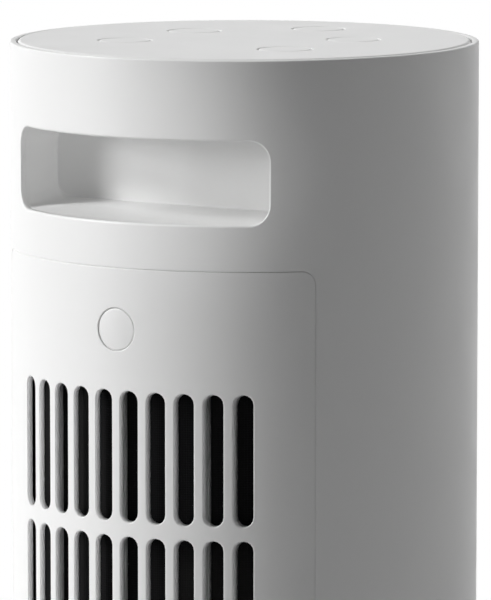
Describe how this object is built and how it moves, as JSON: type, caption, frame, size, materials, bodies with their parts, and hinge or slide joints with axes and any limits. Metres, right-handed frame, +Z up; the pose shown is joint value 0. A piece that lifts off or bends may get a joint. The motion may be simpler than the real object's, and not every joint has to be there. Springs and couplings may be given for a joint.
{
  "type": "tower heater",
  "caption": "Round white tower fan heater on a swinging base, with a slotted intake cover, a handle recess and flush round buttons on top.",
  "frame": {"origin": "on the floor under the tower's axis, at the middle of the base", "axes": "+Z up along the tower's axis, +Y towards the rear with the handle and the intake cover, hot air leaves towards -Y, +X to the right seen from the front"},
  "size_m": [0.19, 0.19, 0.6004],
  "materials": {
    "white_shell": "satin moulded white",
    "white_panel": "fine matte white",
    "black_plastic": "matte black",
    "natural_plastic": "unpainted, slippery",
    "circuit_board": "lacquered board",
    "smoked_plastic": "smoked window",
    "rubber": "matte",
    "filter_mesh": "black woven mesh",
    "steel": "zinc plated",
    "element_fins": "folded fins",
    "ceramic_body": "unglazed"
  },
  "bodies": {
    "base": {"base_weight_plate": "steel", "base_cover": "white_shell", "foot_1": "rubber", "foot_2": "rubber", "foot_3": "rubber", "foot_4": "rubber", "base_screw_1": "steel", "base_screw_2": "steel", "base_screw_3": "steel", "glide_ring": "natural_plastic", "swing_gear": "natural_plastic", "axle_clip": "steel", "cord_gland": "rubber", "tip_switch": "black_plastic"},
    "plunger": {"tip_plunger": "black_plastic"},
    "tower": {"outer_shell": "white_shell", "tower_floor": "white_shell", "tower_screw_1": "steel", "tower_screw_2": "steel", "tower_screw_3": "steel", "swing_motor": "steel", "power_board": "circuit_board", "lower_fan_shelf": "black_plastic", "upper_fan_shelf": "black_plastic", "room_sensor": "black_plastic", "fan_motor": "steel", "shaft_bush": "natural_plastic", "fan_scroll": "black_plastic", "vortex_tongue": "black_plastic", "heater_duct": "black_plastic", "heating_element_1": "element_fins", "heating_element_2": "element_fins", "thermal_cutout": "ceramic_body", "thermal_fuse": "ceramic_body", "outlet_grille": "white_shell", "handle_cup": "white_shell", "keeper_spring": "steel", "keeper_screw": "steel", "top_panel": "white_panel", "control_board": "circuit_board", "display_module": "smoked_plastic", "board_screw_1": "steel", "board_screw_2": "steel", "board_screw_3": "steel"},
    "pinion": {"swing_pinion": "natural_plastic"},
    "impeller": {"fan_impeller": "black_plastic", "motor_rotor": "steel"},
    "power_key": {"power_button": "white_panel"},
    "heat_key": {"heat_button": "white_panel"},
    "swing_key": {"swing_button": "white_panel"},
    "timer_key": {"timer_button": "white_panel"},
    "warmth_key": {"warmth_button": "white_panel"},
    "cover": {"rear_cover": "white_shell", "dust_filter": "filter_mesh"},
    "release": {"release_button": "white_shell"}
  },
  "joints": [
    {"name": "swing", "type": "hinge", "parent": "base", "child": "tower", "pos_m": [0, 0, 0.03], "axis": [0, 0, 1], "range_deg": [-35, 35]},
    {"name": "pinion_turn", "type": "hinge", "parent": "tower", "child": "pinion", "pos_m": [0, -0.036, 0.026], "axis": [0, 0, 1], "range_deg": [-176, 176]},
    {"name": "impeller_spin", "type": "hinge", "parent": "tower", "child": "impeller", "pos_m": [0, 0.016, 0.3], "axis": [0, 0, 1], "continuous": true},
    {"name": "plunger_drop", "type": "slide", "parent": "base", "child": "plunger", "axis": [0, 0, -1], "range_m": [0, 0.004], "stiffness_N_per_m": 100, "springref_m": 0.006},
    {"name": "power_press", "type": "slide", "parent": "tower", "child": "power_key", "axis": [0, 0, -1], "range_m": [0, 0.001], "stiffness_N_per_m": 200, "springref_m": -0.002},
    {"name": "heat_press", "type": "slide", "parent": "tower", "child": "heat_key", "axis": [0, 0, -1], "range_m": [0, 0.001], "stiffness_N_per_m": 200, "springref_m": -0.002},
    {"name": "swing_press", "type": "slide", "parent": "tower", "child": "swing_key", "axis": [0, 0, -1], "range_m": [0, 0.001], "stiffness_N_per_m": 200, "springref_m": -0.002},
    {"name": "timer_press", "type": "slide", "parent": "tower", "child": "timer_key", "axis": [0, 0, -1], "range_m": [0, 0.001], "stiffness_N_per_m": 200, "springref_m": -0.002},
    {"name": "warmth_press", "type": "slide", "parent": "tower", "child": "warmth_key", "axis": [0, 0, -1], "range_m": [0, 0.001], "stiffness_N_per_m": 200, "springref_m": -0.002},
    {"name": "cover_tilt", "type": "hinge", "parent": "tower", "child": "cover", "pos_m": [0, 0.095, 0.1344], "axis": [-1, 0, 0], "range_deg": [0, 40], "deforming": ["keeper_spring"]},
    {"name": "release_press", "type": "slide", "parent": "cover", "child": "release", "axis": [0, -1, 0], "range_m": [0, 0.0025], "stiffness_N_per_m": 300, "springref_m": -0.002, "deforming": ["keeper_spring"]}
  ],
  "couplings": [
    {"joint": "pinion_turn", "follows": "swing", "ratio": 5}
  ]
}
